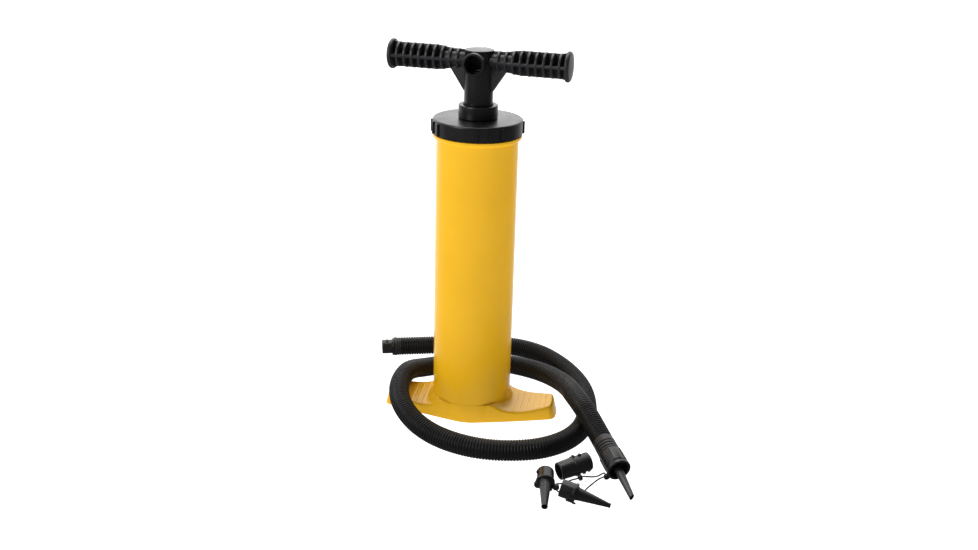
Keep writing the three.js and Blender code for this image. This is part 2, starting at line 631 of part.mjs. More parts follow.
function makeSmallNozzle() {
  const eye = cordEye(13.6, -6.8, -0.8, 2.2);
  const hook = [lug(-130, 9, 12, 1.4, -7, 2.2), lug(-130, 11, 12.4, 1.4, 1.2, 5)];
  const shell = coneShell(10.2, 16.5, 7.4, 2.7, 42.5);
  return cut(join(shell, cut(eye.lobe, flangeBore()), ...hook), eye.hole);
}

// ---------------------------------------------------------------- cords

// Hose centreline: from the bayonet connector behind the pump, once round the pump on the
// floor and over the left foot, then over its own first run to the nozzle.
const HOSE_ROUTE = [
  [-125.5, 136.6, HOSE_Z], [-101, 143.9, HOSE_Z], [-72, 152.6, HOSE_Z], [-36, 162.4, HOSE_Z],
  [2, 168.6, HOSE_Z], [39, 167.5, HOSE_Z], [73, 152.2, HOSE_Z], [102, 124, HOSE_Z],
  [126, 88, HOSE_Z], [142.5, 49, HOSE_Z], [151, 8, HOSE_Z], [153, -33, HOSE_Z],
  [146.5, -68, HOSE_Z], [131.5, -96.5, HOSE_Z], [106, -119.8, HOSE_Z], [74, -132.5, HOSE_Z],
  [38, -136, HOSE_Z], [3, -128.6, HOSE_Z], [-30, -112, 14.1], [-57, -91, 18.1],
  [-78, -64.5, 24.9], [-89.3, -34.5, 29.7], [-92.4, -6, 31.4], [-90.3, 18.5, 31],
  [-85.6, 38, 26.7], [-76, 58.5, 20.3], [-56.5, 82.8, 14.8], [-20, 103.2, HOSE_Z],
  [14, 110.2, HOSE_Z], [48, 105, HOSE_Z], [79, 87.5, 16.1], [104, 58, 22.1],
  [123.5, 20.5, 29.7], [136.8, -21, 37.5], [149.2, -54, 40.1], [157.2, -69.8, 37.2],
  [167, -88.9, 32], [173.2, -101.2, 28.5], [178.4, -111.6, 25.8],
];

// String through the eyes of the three loose adapters, with both ends at the eye on the cup.
const TETHER_ROUTE = [
  [188.1, -159.8, 4.5], [186.8, -157.2, 5.2], [185.3, -154.2, 5.9], [183.6, -151.4, 5.8],
  [181.2, -150.7, 4.3], [177.6, -152.4, 2.3], [172.5, -154.6, 1.5], [167, -156.4, 1.9],
  [163, -159.9, 3.7], [160.2, -162.1, 4.9], [156.5, -164.7, 4.5], [152.8, -167.2, 3.9],
  [148, -168, 2.4], [142.8, -171.6, 1.6], [138, -176.6, 1.8], [133.4, -182.2, 3.7],
  [130.7, -186.8, 5.7], [130.8, -190.4, 5.5], [131, -192.2, 5.1], [131.3, -194.6, 4.7],
  [132.6, -197, 3.4], [135.4, -197.4, 2], [139.4, -195.9, 1.6], [144.2, -196, 2.2],
  [149.4, -197.6, 4.4], [153.4, -198.6, 5.7], [156.5, -199.1, 5.1], [159.1, -199.5, 4.6],
  [162, -199.9, 4], [165, -198.6, 3.1], [165.4, -194.6, 2.2], [163.8, -189.8, 1.6],
  [165.8, -182.6, 1.5], [170.2, -173.4, 1.5], [174.6, -164.6, 1.5], [178.6, -158, 1.5],
  [183.2, -153.4, 1.7],
];

function sweep(route, section, steps) {
  const points = route.map((p) => new THREE.Vector3(...p));
  const extrudePath = new THREE.CatmullRomCurve3(points, false, 'centripetal');
  return solid(new THREE.ExtrudeGeometry(section, { steps, extrudePath, curveSegments: 1 }));
}

function roundPoints(r, sides) {
  const points = [];
  for (let i = 0; i < sides; i++) {
    const angle = (2 * Math.PI * i) / sides;
    points.push(new THREE.Vector2(r * Math.cos(angle), r * Math.sin(angle)));
  }
  return points;
}

function makeHose() {
  const section = new THREE.Shape(roundPoints(HOSE_R, 10));
  section.holes.push(new THREE.Path(roundPoints(HOSE_BORE_R, 6)));
  return sweep(HOSE_ROUTE, section, HOSE_STEPS);
}

const makeTether = () => sweep(TETHER_ROUTE, new THREE.Shape(roundPoints(CORD_R, 8)), 40);

// ---------------------------------------------------------------- assembly

const pump = new THREE.Group();

addPiece(pump, 'base', makeBase(), YELLOW);
addPiece(pump, 'barrel', makeBarrel(), YELLOW);
addPiece(pump, 'screw_cap', makeScrewCap(), BLACK);
addPiece(pump, 'cap_gasket', makeCapGasket(), RUBBER);
addPiece(pump, 'gland_nut', makeGlandNut(), BLACK);
addPiece(pump, 'rod_bush', makeRodBush(), WHITE_NYLON);
addPiece(pump, 'rod_seal', makeRodSeal(), RUBBER);
addPiece(pump, 'piston_seal', makePistonSeal(), RUBBER);

const plunger = new THREE.Group();
plunger.rotation.z = HANDLE_TURN;
pump.add(plunger);

addPiece(plunger, 'piston_body', makePistonBody(), SATIN_BLACK);
addPiece(plunger, 'piston_top_plate', makePistonTopPlate(), SATIN_BLACK);
SCREW_POSTS.forEach((place, i) => addPiece(plunger, `piston_screw_${i + 1}`, makePistonScrew(place), STEEL));
addPiece(plunger, 'piston_rod', makePistonRod(), SATIN_BLACK);
addPiece(plunger, 'handle', makeHandle(), BLACK);
addPiece(plunger, 'hub_top_plug', makeHubTopPlug(), BLACK);

const flapAbove = (z) => z + GAP;
const flapBelow = (z) => z - GAP - FLAP_THICK;
addPiece(plunger, 'lower_outlet_flap', makeFlap(-1, flapAbove(PISTON_Z + DISC)), RUBBER);
addPiece(plunger, 'lower_inlet_flap', makeFlap(1, flapBelow(PISTON_Z)), RUBBER);
addPiece(plunger, 'upper_outlet_flap', makeFlap(-1, flapBelow(TOP_PLATE_Z)), RUBBER);
addPiece(plunger, 'upper_inlet_flap', makeFlap(1, flapAbove(TOP_PLATE_Z + DISC)), RUBBER);

addPiece(pump, 'hose', makeHose(), HOSE_BLACK);
addPiece(pump, 'tether_cord', makeTether(), SATIN_BLACK);

const hoseStart = aimedGroup(HOSE_ROUTE[0], 196.6, 0);
pump.add(hoseStart);
addPiece(hoseStart, 'hose_rear_cuff', makeRearCuff(), SATIN_BLACK);
addPiece(hoseStart, 'hose_connector', makeHoseConnector(), BLACK);

const hoseEnd = aimedGroup(HOSE_ROUTE.at(-1), -63.4, -13);
pump.add(hoseEnd);
addPiece(hoseEnd, 'hose_front_cuff', makeFrontCuff(), SATIN_BLACK);
addPiece(hoseEnd, 'hose_end_cup', makeEndCup(), BLACK);
addPiece(hoseEnd, 'pinch_nozzle', makePinchNozzle(), BLACK);

const doubleEnded = aimedGroup([131.2, -166.3, 10.5], 34.3, 7);
pump.add(doubleEnded);
addPiece(doubleEnded, 'double_ended_adapter', makeDoubleEndedAdapter(), BLACK);

const largeNozzle = aimedGroup([118.3, -194, 11.5], -84.5, -10.4);
pump.add(largeNozzle);
addPiece(largeNozzle, 'large_nozzle', makeLargeNozzle(), BLACK);

const smallNozzle = aimedGroup([153.6, -212.4, 12.3], -9.3, -11);
pump.add(smallNozzle);
addPiece(smallNozzle, 'small_nozzle', makeSmallNozzle(), BLACK);

export default pump;
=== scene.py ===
"""Double action hand pump with its hose and nozzles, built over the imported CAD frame.

Sizes are in millimetres, as in the CAD source, and MM turns them into metres where they reach
Blender. Only the lights and the floor are given in metres.
"""
import math

import bmesh
import bpy
import numpy as np
from mathutils import Matrix, Vector


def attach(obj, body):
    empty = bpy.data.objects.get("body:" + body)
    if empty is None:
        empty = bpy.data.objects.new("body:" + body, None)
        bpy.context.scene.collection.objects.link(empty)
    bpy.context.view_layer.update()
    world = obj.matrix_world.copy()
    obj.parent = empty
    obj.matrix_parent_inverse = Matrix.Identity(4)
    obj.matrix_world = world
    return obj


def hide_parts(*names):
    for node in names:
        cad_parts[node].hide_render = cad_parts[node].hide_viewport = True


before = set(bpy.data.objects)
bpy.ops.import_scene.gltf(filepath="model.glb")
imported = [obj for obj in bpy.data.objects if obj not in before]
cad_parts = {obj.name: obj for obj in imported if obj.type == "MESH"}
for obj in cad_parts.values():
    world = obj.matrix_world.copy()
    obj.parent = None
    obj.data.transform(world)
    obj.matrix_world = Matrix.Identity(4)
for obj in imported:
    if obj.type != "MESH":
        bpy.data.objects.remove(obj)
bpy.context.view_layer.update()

MM = 0.001
HANDLE_TURN = math.radians(-7.5)     # the handle's turn from the feet, as the CAD has it


# ---------------------------------------------------------------- cord routes, as in the CAD source

HOSE_ROUTE = [
    (-125.5, 136.6, 13.3), (-101, 143.9, 13.3), (-72, 152.6, 13.3), (-36, 162.4, 13.3),
    (2, 168.6, 13.3), (39, 167.5, 13.3), (73, 152.2, 13.3), (102, 124, 13.3),
    (126, 88, 13.3), (142.5, 49, 13.3), (151, 8, 13.3), (153, -33, 13.3),
    (146.5, -68, 13.3), (131.5, -96.5, 13.3), (106, -119.8, 13.3), (74, -132.5, 13.3),
    (38, -136, 13.3), (3, -128.6, 13.3), (-30, -112, 14.1), (-57, -91, 18.1),
    (-78, -64.5, 24.9), (-89.3, -34.5, 29.7), (-92.4, -6, 31.4), (-90.3, 18.5, 31),
    (-85.6, 38, 26.7), (-76, 58.5, 20.3), (-56.5, 82.8, 14.8), (-20, 103.2, 13.3),
    (14, 110.2, 13.3), (48, 105, 13.3), (79, 87.5, 16.1), (104, 58, 22.1),
    (123.5, 20.5, 29.7), (136.8, -21, 37.5), (149.2, -54, 40.1), (157.2, -69.8, 37.2),
    (167, -88.9, 32), (173.2, -101.2, 28.5), (178.4, -111.6, 25.8),
]
TETHER_ROUTE = [
    (188.1, -159.8, 4.5), (186.8, -157.2, 5.2), (185.3, -154.2, 5.9), (183.6, -151.4, 5.8),
    (181.2, -150.7, 4.3), (177.6, -152.4, 2.3), (172.5, -154.6, 1.5), (167, -156.4, 1.9),
    (163, -159.9, 3.7), (160.2, -162.1, 4.9), (156.5, -164.7, 4.5), (152.8, -167.2, 3.9),
    (148, -168, 2.4), (142.8, -171.6, 1.6), (138, -176.6, 1.8), (133.4, -182.2, 3.7),
    (130.7, -186.8, 5.7), (130.8, -190.4, 5.5), (131, -192.2, 5.1), (131.3, -194.6, 4.7),
    (132.6, -197, 3.4), (135.4, -197.4, 2), (139.4, -195.9, 1.6), (144.2, -196, 2.2),
    (149.4, -197.6, 4.4), (153.4, -198.6, 5.7), (156.5, -199.1, 5.1), (159.1, -199.5, 4.6),
    (162, -199.9, 4), (165, -198.6, 3.1), (165.4, -194.6, 2.2), (163.8, -189.8, 1.6),
    (165.8, -182.6, 1.5), (170.2, -173.4, 1.5), (174.6, -164.6, 1.5), (178.6, -158, 1.5),
    (183.2, -153.4, 1.7),
]


def smooth_route(route, per_stretch):
    """Points of the centripetal Catmull-Rom curve through the route."""
    given = [Vector(p) for p in route]
    given = [2 * given[0] - given[1], *given, 2 * given[-1] - given[-2]]
    points = []
    for p0, p1, p2, p3 in zip(given, given[1:], given[2:], given[3:]):
        t1 = (p1 - p0).length ** 0.5
        t2 = t1 + (p2 - p1).length ** 0.5
        t3 = t2 + (p3 - p2).length ** 0.5
        for k in range(per_stretch):
            t = t1 + (t2 - t1) * k / per_stretch
            a1 = p0.lerp(p1, t / t1)
            a2 = p1.lerp(p2, (t - t1) / (t2 - t1))
            a3 = p2.lerp(p3, (t - t2) / (t3 - t2))
            b1 = a1.lerp(a2, t / t2)
            b2 = a2.lerp(a3, (t - t1) / (t3 - t1))
            points.append(b1.lerp(b2, (t - t1) / (t2 - t1)))
    return [*points, given[-2]]


# ---------------------------------------------------------------- camera and light

CAMERA_AZIMUTH = 8.91      # degrees from -Y towards +X
CAMERA_DISTANCE = 1352.6   # from the barrel's axis, along the floor
CAMERA_HEIGHT = 691.5
CAMERA_PAN = 0.79          # degrees to the right of the barrel's axis
CAMERA_PITCH = 20.58       # degrees below level
CAMERA_ROLL = 1.65
CAMERA_LENS = 42.14
CAMERA_CLIP_START = 0.05   # metres

WORLD_BRIGHT_WAY = (-0.3, 0.85, 0.43)
WORLD_SHADES = [(0.0, 0.06), (0.45, 0.6), (0.62, 1.0), (0.95, 1.9)]
SOFTBOX_POWER = 12.5
TOP_POWER = 8
FLOOR_WIDTH = 60
FLOOR_GREY = 0.35
FLOOR_GLOW = 1.35


def make_camera():
    """A camera 1.5 m away, to the right of the front and above, looking down at the pump."""
    azimuth = math.radians(CAMERA_AZIMUTH)
    heading = math.radians(CAMERA_PAN - CAMERA_AZIMUTH)
    pitch = math.radians(CAMERA_PITCH)
    roll = math.radians(CAMERA_ROLL)
    ahead = Vector((
        math.sin(heading) * math.cos(pitch), math.cos(heading) * math.cos(pitch), -math.sin(pitch)))
    level = ahead.cross(Vector((0, 0, 1))).normalized()
    upright = level.cross(ahead)
    right = level * math.cos(roll) + upright * math.sin(roll)
    up = upright * math.cos(roll) - level * math.sin(roll)
    place = Matrix((right, up, -ahead)).transposed().to_4x4()
    place.translation = MM * Vector((
        CAMERA_DISTANCE * math.sin(azimuth), -CAMERA_DISTANCE * math.cos(azimuth), CAMERA_HEIGHT))
    data = bpy.data.cameras.new("camera")
    data.lens = CAMERA_LENS
    data.clip_start = CAMERA_CLIP_START
    camera = bpy.data.objects.new("camera", data)
    camera.matrix_world = place
    bpy.context.scene.collection.objects.link(camera)
    bpy.context.scene.camera = camera


def area_light(name, place, aim, size, power):
    data = bpy.data.lights.new(name, "AREA")
    data.shape = "RECTANGLE"
    data.size, data.size_y = size
    data.energy = power
    light = bpy.data.objects.new(name, data)
    light.location = place
    light.rotation_euler = (Vector(aim) - Vector(place)).to_track_quat("-Z", "Y").to_euler()
    bpy.context.scene.collection.objects.link(light)


def make_world():
    """A white room that lights the pump more from behind, and is plain white to the camera."""
    world = bpy.data.worlds.new("studio")
    world.use_nodes = True
    tree = world.node_tree
    background = tree.nodes["Background"]
    background.inputs["Color"].default_value = (1, 1, 1, 1)
    coordinates = tree.nodes.new("ShaderNodeTexCoord")
    heading = tree.nodes.new("ShaderNodeVectorMath")
    heading.operation = "DOT_PRODUCT"
    heading.inputs[1].default_value = WORLD_BRIGHT_WAY
    tree.links.new(coordinates.outputs["Generated"], heading.inputs[0])
    ramp = ramp_node(tree, heading.outputs["Value"], WORLD_SHADES)
    ray = tree.nodes.new("ShaderNodeLightPath")
    strength = tree.nodes.new("ShaderNodeMix")
    strength.inputs["B"].default_value = 1
    tree.links.new(ray.outputs["Is Camera Ray"], strength.inputs["Factor"])
    tree.links.new(ramp, strength.inputs["A"])
    tree.links.new(strength.outputs["Result"], background.inputs["Strength"])
    bpy.context.scene.world = world
    bpy.context.scene.view_settings.view_transform = "Standard"


def make_floor():
    bpy.ops.mesh.primitive_plane_add(size=FLOOR_WIDTH)
    floor = bpy.context.object
    floor.name = "floor"
    floor.visible_glossy = False
    material = bpy.data.materials.new("floor_white")
    material.use_nodes = True
    shader = material.node_tree.nodes["Principled BSDF"]
    shader.inputs["Base Color"].default_value = (FLOOR_GREY, FLOOR_GREY, FLOOR_GREY, 1)
    shader.inputs["Roughness"].default_value = 0.9
    shader.inputs["Specular IOR Level"].default_value = 0
    shader.inputs["Emission Color"].default_value = (1, 1, 1, 1)
    shader.inputs["Emission Strength"].default_value = FLOOR_GLOW
    floor.data.materials.append(material)


def make_studio():
    make_world()
    area_light("softbox", (-1.15, -1.25, 1.05), (0, 0, 0.25), (0.8, 1.1), SOFTBOX_POWER)
    area_light("top", (-0.2, 0.3, 1.7), (0, 0, 0.2), (1.0, 1.0), TOP_POWER)
    make_floor()


# ---------------------------------------------------------------- materials

def noise_node(tree, scale, detail, roughness=0.5):
    coordinates = tree.nodes.new("ShaderNodeTexCoord")
    noise = tree.nodes.new("ShaderNodeTexNoise")
    noise.inputs["Scale"].default_value = scale
    noise.inputs["Detail"].default_value = detail
    noise.inputs["Roughness"].default_value = roughness
    tree.links.new(coordinates.outputs["Object"], noise.inputs["Vector"])
    return noise.outputs["Fac"]


def ramp_node(tree, source, stops):
    """A colour ramp over source. stops are (position, grey or colour)."""
    ramp = tree.nodes.new("ShaderNodeValToRGB")
    elements = ramp.color_ramp.elements
    while len(elements) < len(stops):
        elements.new(0.5)
    for element, (position, color) in zip(elements, stops):
        color = (color,) * 3 if isinstance(color, (int, float)) else color
        element.position = position
        element.color = (*color, 1)
    tree.links.new(source, ramp.inputs["Fac"])
    return ramp.outputs["Color"]


def plastic(name, dark, light, roughness, grain_scale, grain_depth, specular=0.5):
    """Moulded plastic: colour drifts from dark to light, gloss varies, a fine grain stands up."""
    material = bpy.data.materials.new(name)
    material.use_nodes = True
    tree = material.node_tree
    shader = tree.nodes["Principled BSDF"]
    drift = noise_node(tree, 14, detail=4)
    color = ramp_node(tree, drift, [(0.3, dark), (0.7, light)])
    tree.links.new(color, shader.inputs["Base Color"])
    smears = noise_node(tree, 60, detail=5, roughness=0.6)
    glossiest, dullest = roughness
    gloss = ramp_node(tree, smears, [(0.3, glossiest), (0.75, dullest)])
    tree.links.new(gloss, shader.inputs["Roughness"])
    bump = tree.nodes.new("ShaderNodeBump")
    bump.inputs["Strength"].default_value = 0.6
    bump.inputs["Distance"].default_value = grain_depth * MM
    tree.links.new(noise_node(tree, grain_scale, detail=2), bump.inputs["Height"])
    tree.links.new(bump.outputs["Normal"], shader.inputs["Normal"])
    shader.inputs["Specular IOR Level"].default_value = specular
    return material


YELLOW = plastic("yellow_plastic", (0.80, 0.43, 0.008), (0.84, 0.46, 0.012), (0.18, 0.26),
                 grain_scale=260, grain_depth=0.02, specular=0.35)
BLACK = plastic("black_plastic", (0.0055, 0.0055, 0.0065), (0.009, 0.009, 0.010), (0.27, 0.37),
                grain_scale=1600, grain_depth=0.02, specular=0.55)
GRIP = plastic("grip_plastic", (0.013, 0.013, 0.015), (0.02, 0.02, 0.022), (0.34, 0.46),
               grain_scale=1600, grain_depth=0.05)
SATIN = plastic("satin_plastic", (0.007, 0.007, 0.008), (0.012, 0.012, 0.013), (0.4, 0.52),
                grain_scale=1600, grain_depth=0.05)
HOSE = plastic("hose_plastic", (0.005, 0.005, 0.005), (0.009, 0.0085, 0.0085), (0.3, 0.4),
               grain_scale=1200, grain_depth=0.04, specular=0.22)
GRAINED = plastic("grained_plastic", (0.012, 0.012, 0.013), (0.024, 0.024, 0.026), (0.45, 0.6),
                  grain_scale=1100, grain_depth=0.25)
RUBBER = plastic("soft_rubber", (0.012, 0.012, 0.012), (0.026, 0.025, 0.025), (0.7, 0.85),
                 grain_scale=1400, grain_depth=0.08, specular=0.3)
NYLON = plastic("white_nylon", (0.72, 0.71, 0.66), (0.8, 0.79, 0.74), (0.4, 0.5),
                grain_scale=900, grain_depth=0.03)
STEEL = plastic("zinc_steel", (0.5, 0.51, 0.53), (0.66, 0.66, 0.67), (0.25, 0.42),
                grain_scale=900, grain_depth=0.02)
STEEL.node_tree.nodes["Principled BSDF"].inputs["Metallic"].default_value = 1


# ---------------------------------------------------------------- mesh making

def soften(outline, radius, steps, closed=False):
    """The outline with each corner rounded by a short curve of about that radius."""
    points = [Vector(p) for p in outline]
    count = len(points)
    rounded = []
    for i, corner in enumerate(points):
        if not closed and i in (0, count - 1):
            rounded.append(tuple(corner))
            continue
        before, after = points[i - 1], points[(i + 1) % count]
        reach = min(radius, (before - corner).length * 0.48, (after - corner).length * 0.48)
        start = corner + (before - corner).normalized() * reach
        end = corner + (after - corner).normalized() * reach
        for k in range(steps + 1):
            t = k / steps
            point = start * (1 - t) ** 2 + corner * (2 * t * (1 - t)) + end * t ** 2
            rounded.append(tuple(point))
    return rounded


def lathe(outline, sides, closed=False):
    """(vertices, faces) of a (radius, height) outline turned about Z. Open ones end on the axis."""
    vertices, faces, rows = [], [], []
    for r, z in outline:
        if r < 1e-6:
            rows.append([len(vertices)] * sides)
            vertices.append((0, 0, z))
            continue
        rows.append(list(range(len(vertices), len(vertices) + sides)))
        for k in range(sides):
            angle = 2 * math.pi * k / sides
            vertices.append((r * math.cos(angle), r * math.sin(angle), z))
    pairs = list(zip(rows, rows[1:]))
    if closed:
        pairs.append((rows[-1], rows[0]))
    for a, b in pairs:
        for k in range(sides):
            n = (k + 1) % sides
            corners = [a[k], a[n], b[n], b[k]]
            face = [v for i, v in enumerate(corners) if v not in corners[:i]]
            if len(face) > 2:
                faces.append(face)
    return vertices, faces


def block(x0, x1, y0, y1, z0, z1, round_off=0.0):
    """(vertices, faces) of a box with rounded edges."""
    mesh = bmesh.new()
    bmesh.ops.create_cube(mesh, size=1)
    size = Vector((x1 - x0, y1 - y0, z1 - z0))
    middle = Vector((x0 + x1, y0 + y1, z0 + z1)) / 2
    for v in mesh.verts:
        v.co = Vector((v.co.x * size.x, v.co.y * size.y, v.co.z * size.z)) + middle
    return rounded_solid(mesh, round_off)


def prism(outline, depth0, depth1, round_off=0.0):
    """(vertices, faces) of a flat (x, z) outline thickened along y, with rounded edges."""
    mesh = bmesh.new()
    front = [mesh.verts.new((x, depth0, z)) for x, z in outline]
    back = [mesh.verts.new((x, depth1, z)) for x, z in outline]
    mesh.faces.new(front)
    mesh.faces.new(back[::-1])
    for i in range(len(outline)):
        n = (i + 1) % len(outline)
        mesh.faces.new((front[n], front[i], back[i], back[n]))
    bmesh.ops.recalc_face_normals(mesh, faces=mesh.faces)
    return rounded_solid(mesh, round_off)


def rounded_solid(mesh, round_off):
    """(vertices, faces) of the bmesh with its sharp edges rounded off. The bmesh is freed."""
    if round_off:
        edges = [e for e in mesh.edges if e.calc_face_angle(0) > math.radians(25)]
        bmesh.ops.bevel(
            mesh, geom=edges, offset=round_off, segments=2, affect="EDGES", profile=0.6)
    mesh.verts.ensure_lookup_table()
    vertices = [tuple(v.co) for v in mesh.verts]
    faces = [[v.index for v in f.verts] for f in mesh.faces]
    mesh.free()
    return vertices, faces


def moved(shape, matrix):
    vertices, faces = shape
    return [tuple(matrix @ Vector(v)) for v in vertices], faces


def merged(*shapes):
    vertices, faces = [], []
    for more_vertices, more_faces in shapes:
        start = len(vertices)
        vertices += more_vertices
        faces += [[start + i for i in face] for face in more_faces]
    return vertices, faces


def new_object(name, shape):
    """A mesh object from millimetres, with every face turned outwards."""
    vertices, faces = shape
    mesh = bpy.data.meshes.new(name)
    mesh.from_pydata([tuple(MM * c for c in v) for v in vertices], [], faces)
    outward = bmesh.new()
    outward.from_mesh(mesh)
    bmesh.ops.recalc_face_normals(outward, faces=outward.faces)
    outward.to_mesh(mesh)
    outward.free()
    obj = bpy.data.objects.new(name, mesh)
    bpy.context.scene.collection.objects.link(obj)
    return obj


def combine(obj, shape, operation):
    """Joins a shape to the object, or cuts it out, and keeps the result as the object's mesh."""
    tool = new_object("tool", shape)
    modifier = obj.modifiers.new("combine", "BOOLEAN")
    modifier.operation = operation
    modifier.solver = "EXACT"
    modifier.object = tool
    settle(obj)
    bpy.data.objects.remove(tool)


def settle(obj):
    """Applies the object's modifiers."""
    graph = bpy.context.evaluated_depsgraph_get()
    made = bpy.data.meshes.new_from_object(obj.evaluated_get(graph))
    obj.modifiers.clear()
    obj.data = made


def finish_piece(obj, material, body, nodes=(), sharp=32):
    """Shades the object, paints it, and puts it on its CAD body in the place of its CAD nodes."""
    obj.data.polygons.foreach_set("use_smooth", [True] * len(obj.data.polygons))
    obj.data.set_sharp_from_angle(angle=math.radians(sharp))
    obj.data.materials.clear()
    obj.data.materials.append(material)
    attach(obj, body)
    if nodes:
        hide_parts(*nodes)
    return obj


def new_piece(name, shape, material, body, nodes=(), sharp=32):
    return finish_piece(new_object(name, shape), material, body, nodes, sharp)


def aimed(origin, azimuth, slope):
    """A frame whose +Z runs along a heading in degrees, +Y upwards, +X to the left of it."""
    azimuth, slope = math.radians(azimuth), math.radians(slope)
    ahead = Vector((
        math.cos(azimuth) * math.cos(slope), math.sin(azimuth) * math.cos(slope), math.sin(slope)))
    left = Vector((-math.sin(azimuth), math.cos(azimuth), 0))
    matrix = Matrix((left, ahead.cross(left), ahead)).transposed().to_4x4()
    matrix.translation = Vector(origin)
    return matrix


# ---------------------------------------------------------------- hose and string

HOSE_R = 13
HOSE_PITCH = 3.6
HOSE_GROOVE = 1.1
HOSE_STEPS = 7             # points of the line for each corrugation
TETHER_DIAMETER = 0.0018   # metres


def even_points(points, step):
    """Points about a step apart along the line, and the line's length."""
    line = np.array([tuple(p) for p in points])
    run = np.concatenate([[0], np.cumsum(np.linalg.norm(np.diff(line, axis=0), axis=1))])
    count = int(round(run[-1] / step))
    at = np.linspace(0, run[-1], count + 1)
    return np.stack([np.interp(at, run, line[:, k]) for k in range(3)], axis=1), run[-1]


def tube_along(line, radii, sides):
    """(vertices, faces) of a closed tube with a radius at each point of the line."""
    along = np.gradient(line, axis=0)
    along /= np.linalg.norm(along, axis=1)[:, None]
    side = np.cross(along[0], (0, 0, 1))
    vertices, faces = [], []
    angles = np.linspace(0, 2 * math.pi, sides, endpoint=False)
    for i, (point, ahead, radius) in enumerate(zip(line, along, radii)):
        side = side - ahead * side.dot(ahead)
        side /= np.linalg.norm(side)
        other = np.cross(ahead, side)
        ring = point + radius * (np.cos(angles)[:, None] * side + np.sin(angles)[:, None] * other)
        vertices += [tuple(v) for v in ring]
        if i:
            start = (i - 1) * sides
            for k in range(sides):
                n = (k + 1) % sides
                faces.append([start + k, start + n, start + sides + n, start + sides + k])
    faces.append(list(range(sides))[::-1])
    faces.append(list(range(len(vertices) - sides, len(vertices))))
    return vertices, faces


def make_hose():
    """The corrugated hose, the path that it follows and its length in metres."""
    line, length = even_points(smooth_route(HOSE_ROUTE, 24), HOSE_PITCH / HOSE_STEPS)
    at = np.linspace(0, length, len(line))
    wave = 0.5 - 0.5 * np.cos(2 * math.pi * at / HOSE_PITCH)
    radii = HOSE_R - HOSE_GROOVE * (1 - wave) ** 1.6
    hose = new_piece("corrugated_hose", tube_along(line, radii, 28), HOSE,
                     "housing", ["hose"], sharp=60)
    path = [tuple(MM * c for c in p) for p in [*line[::2 * HOSE_STEPS], line[-1]]]
    return hose, path, length * MM


def make_tether():
    """The string through the loose nozzles' eyes, and its length in metres."""
    points = smooth_route(TETHER_ROUTE, 6)
    data = bpy.data.curves.new("tether_string", "CURVE")
    data.dimensions = "3D"
    data.bevel_depth = TETHER_DIAMETER / 2
    data.bevel_resolution = 4
    data.use_fill_caps = True
    spline = data.splines.new("POLY")
    spline.points.add(len(points) - 1)
    for point, place in zip(spline.points, points):
        point.co = (*(MM * c for c in place), 1)
    data.materials.append(SATIN)
    string = bpy.data.objects.new("tether_string", data)
    bpy.context.scene.collection.objects.link(string)
    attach(string, "housing")
    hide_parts("tether_cord")
    length = sum((b - a).length for a, b in zip(points, points[1:])) * MM
    return string, length


make_camera()
make_studio()
hose, hose_path, hose_length = make_hose()
tether, tether_length = make_tether()


# ---------------------------------------------------------------- base

BARREL_R = 50
BARREL_BORE_R = 46
BASE_TOP_Z = 24
FOOT_TANGENT = (12.1, 48.5)      # where the foot's flank leaves the round hub, as (x, y)
FOOT_BEND = (61, 36.3)
FOOT_TIP = (110.6, 18)
TIP_BOW = 2.2
TIP_CORNER = 4.5
FOOT_REACH = FOOT_TIP[0] + TIP_BOW
FOOT_END_Z = 18.6
FOOT_RIM = 3.2
HUB_FILLET = 7
END_LEAN = 5                     # how far the foot's end leans in at its top
LEAN_FROM = 92
LEAN_RUN = 20
TREAD_RIBS = [59.5 + 7.7 * i for i in range(6)]
TREAD_HEIGHT = 0.4
POCKET_PITCH = 13
POCKET_LENGTH = 10
SKIN = 3.4


def bezier(p0, p1, p2, p3):
    t = np.linspace(0, 1, 24)[:, None]
    p0, p1, p2, p3 = (np.array(p, float) for p in (p0, p1, p2, p3))
    return (1 - t) ** 3 * p0 + 3 * t * (1 - t) ** 2 * p1 + 3 * t * t * (1 - t) * p2 + t ** 3 * p3


FOOT_PROFILE = np.concatenate([
    bezier((34, 24), (44, 15.6), (54, 12.8), (67, 12.8)),
    bezier((67, 12.8), (80, 12.8), (95, 16.8), (107.5, FOOT_END_Z)),
])


def foot_half_width(x):
    """Half the plan's width at x: the hub's circle, then a taper that leaves it on a tangent."""
    t = np.linspace(0, 1, 60)[:, None]
    start, bend, end = np.array([FOOT_TANGENT, FOOT_BEND, FOOT_TIP])
    flank = (1 - t) ** 2 * start + 2 * t * (1 - t) * bend + t * t * end
    reach = np.abs(x)
    hub = np.sqrt(np.maximum(BARREL_R ** 2 - reach ** 2, 1))
    return np.where(reach < FOOT_TANGENT[0], hub, np.interp(reach, flank[:, 0], flank[:, 1]))


def foot_end(v):
    """How far the foot reaches at the fraction v of its half width: bowed, with rounded corners."""
    return FOOT_TIP[0] + TIP_BOW * (1 - v ** 2) - TIP_CORNER * v ** 10


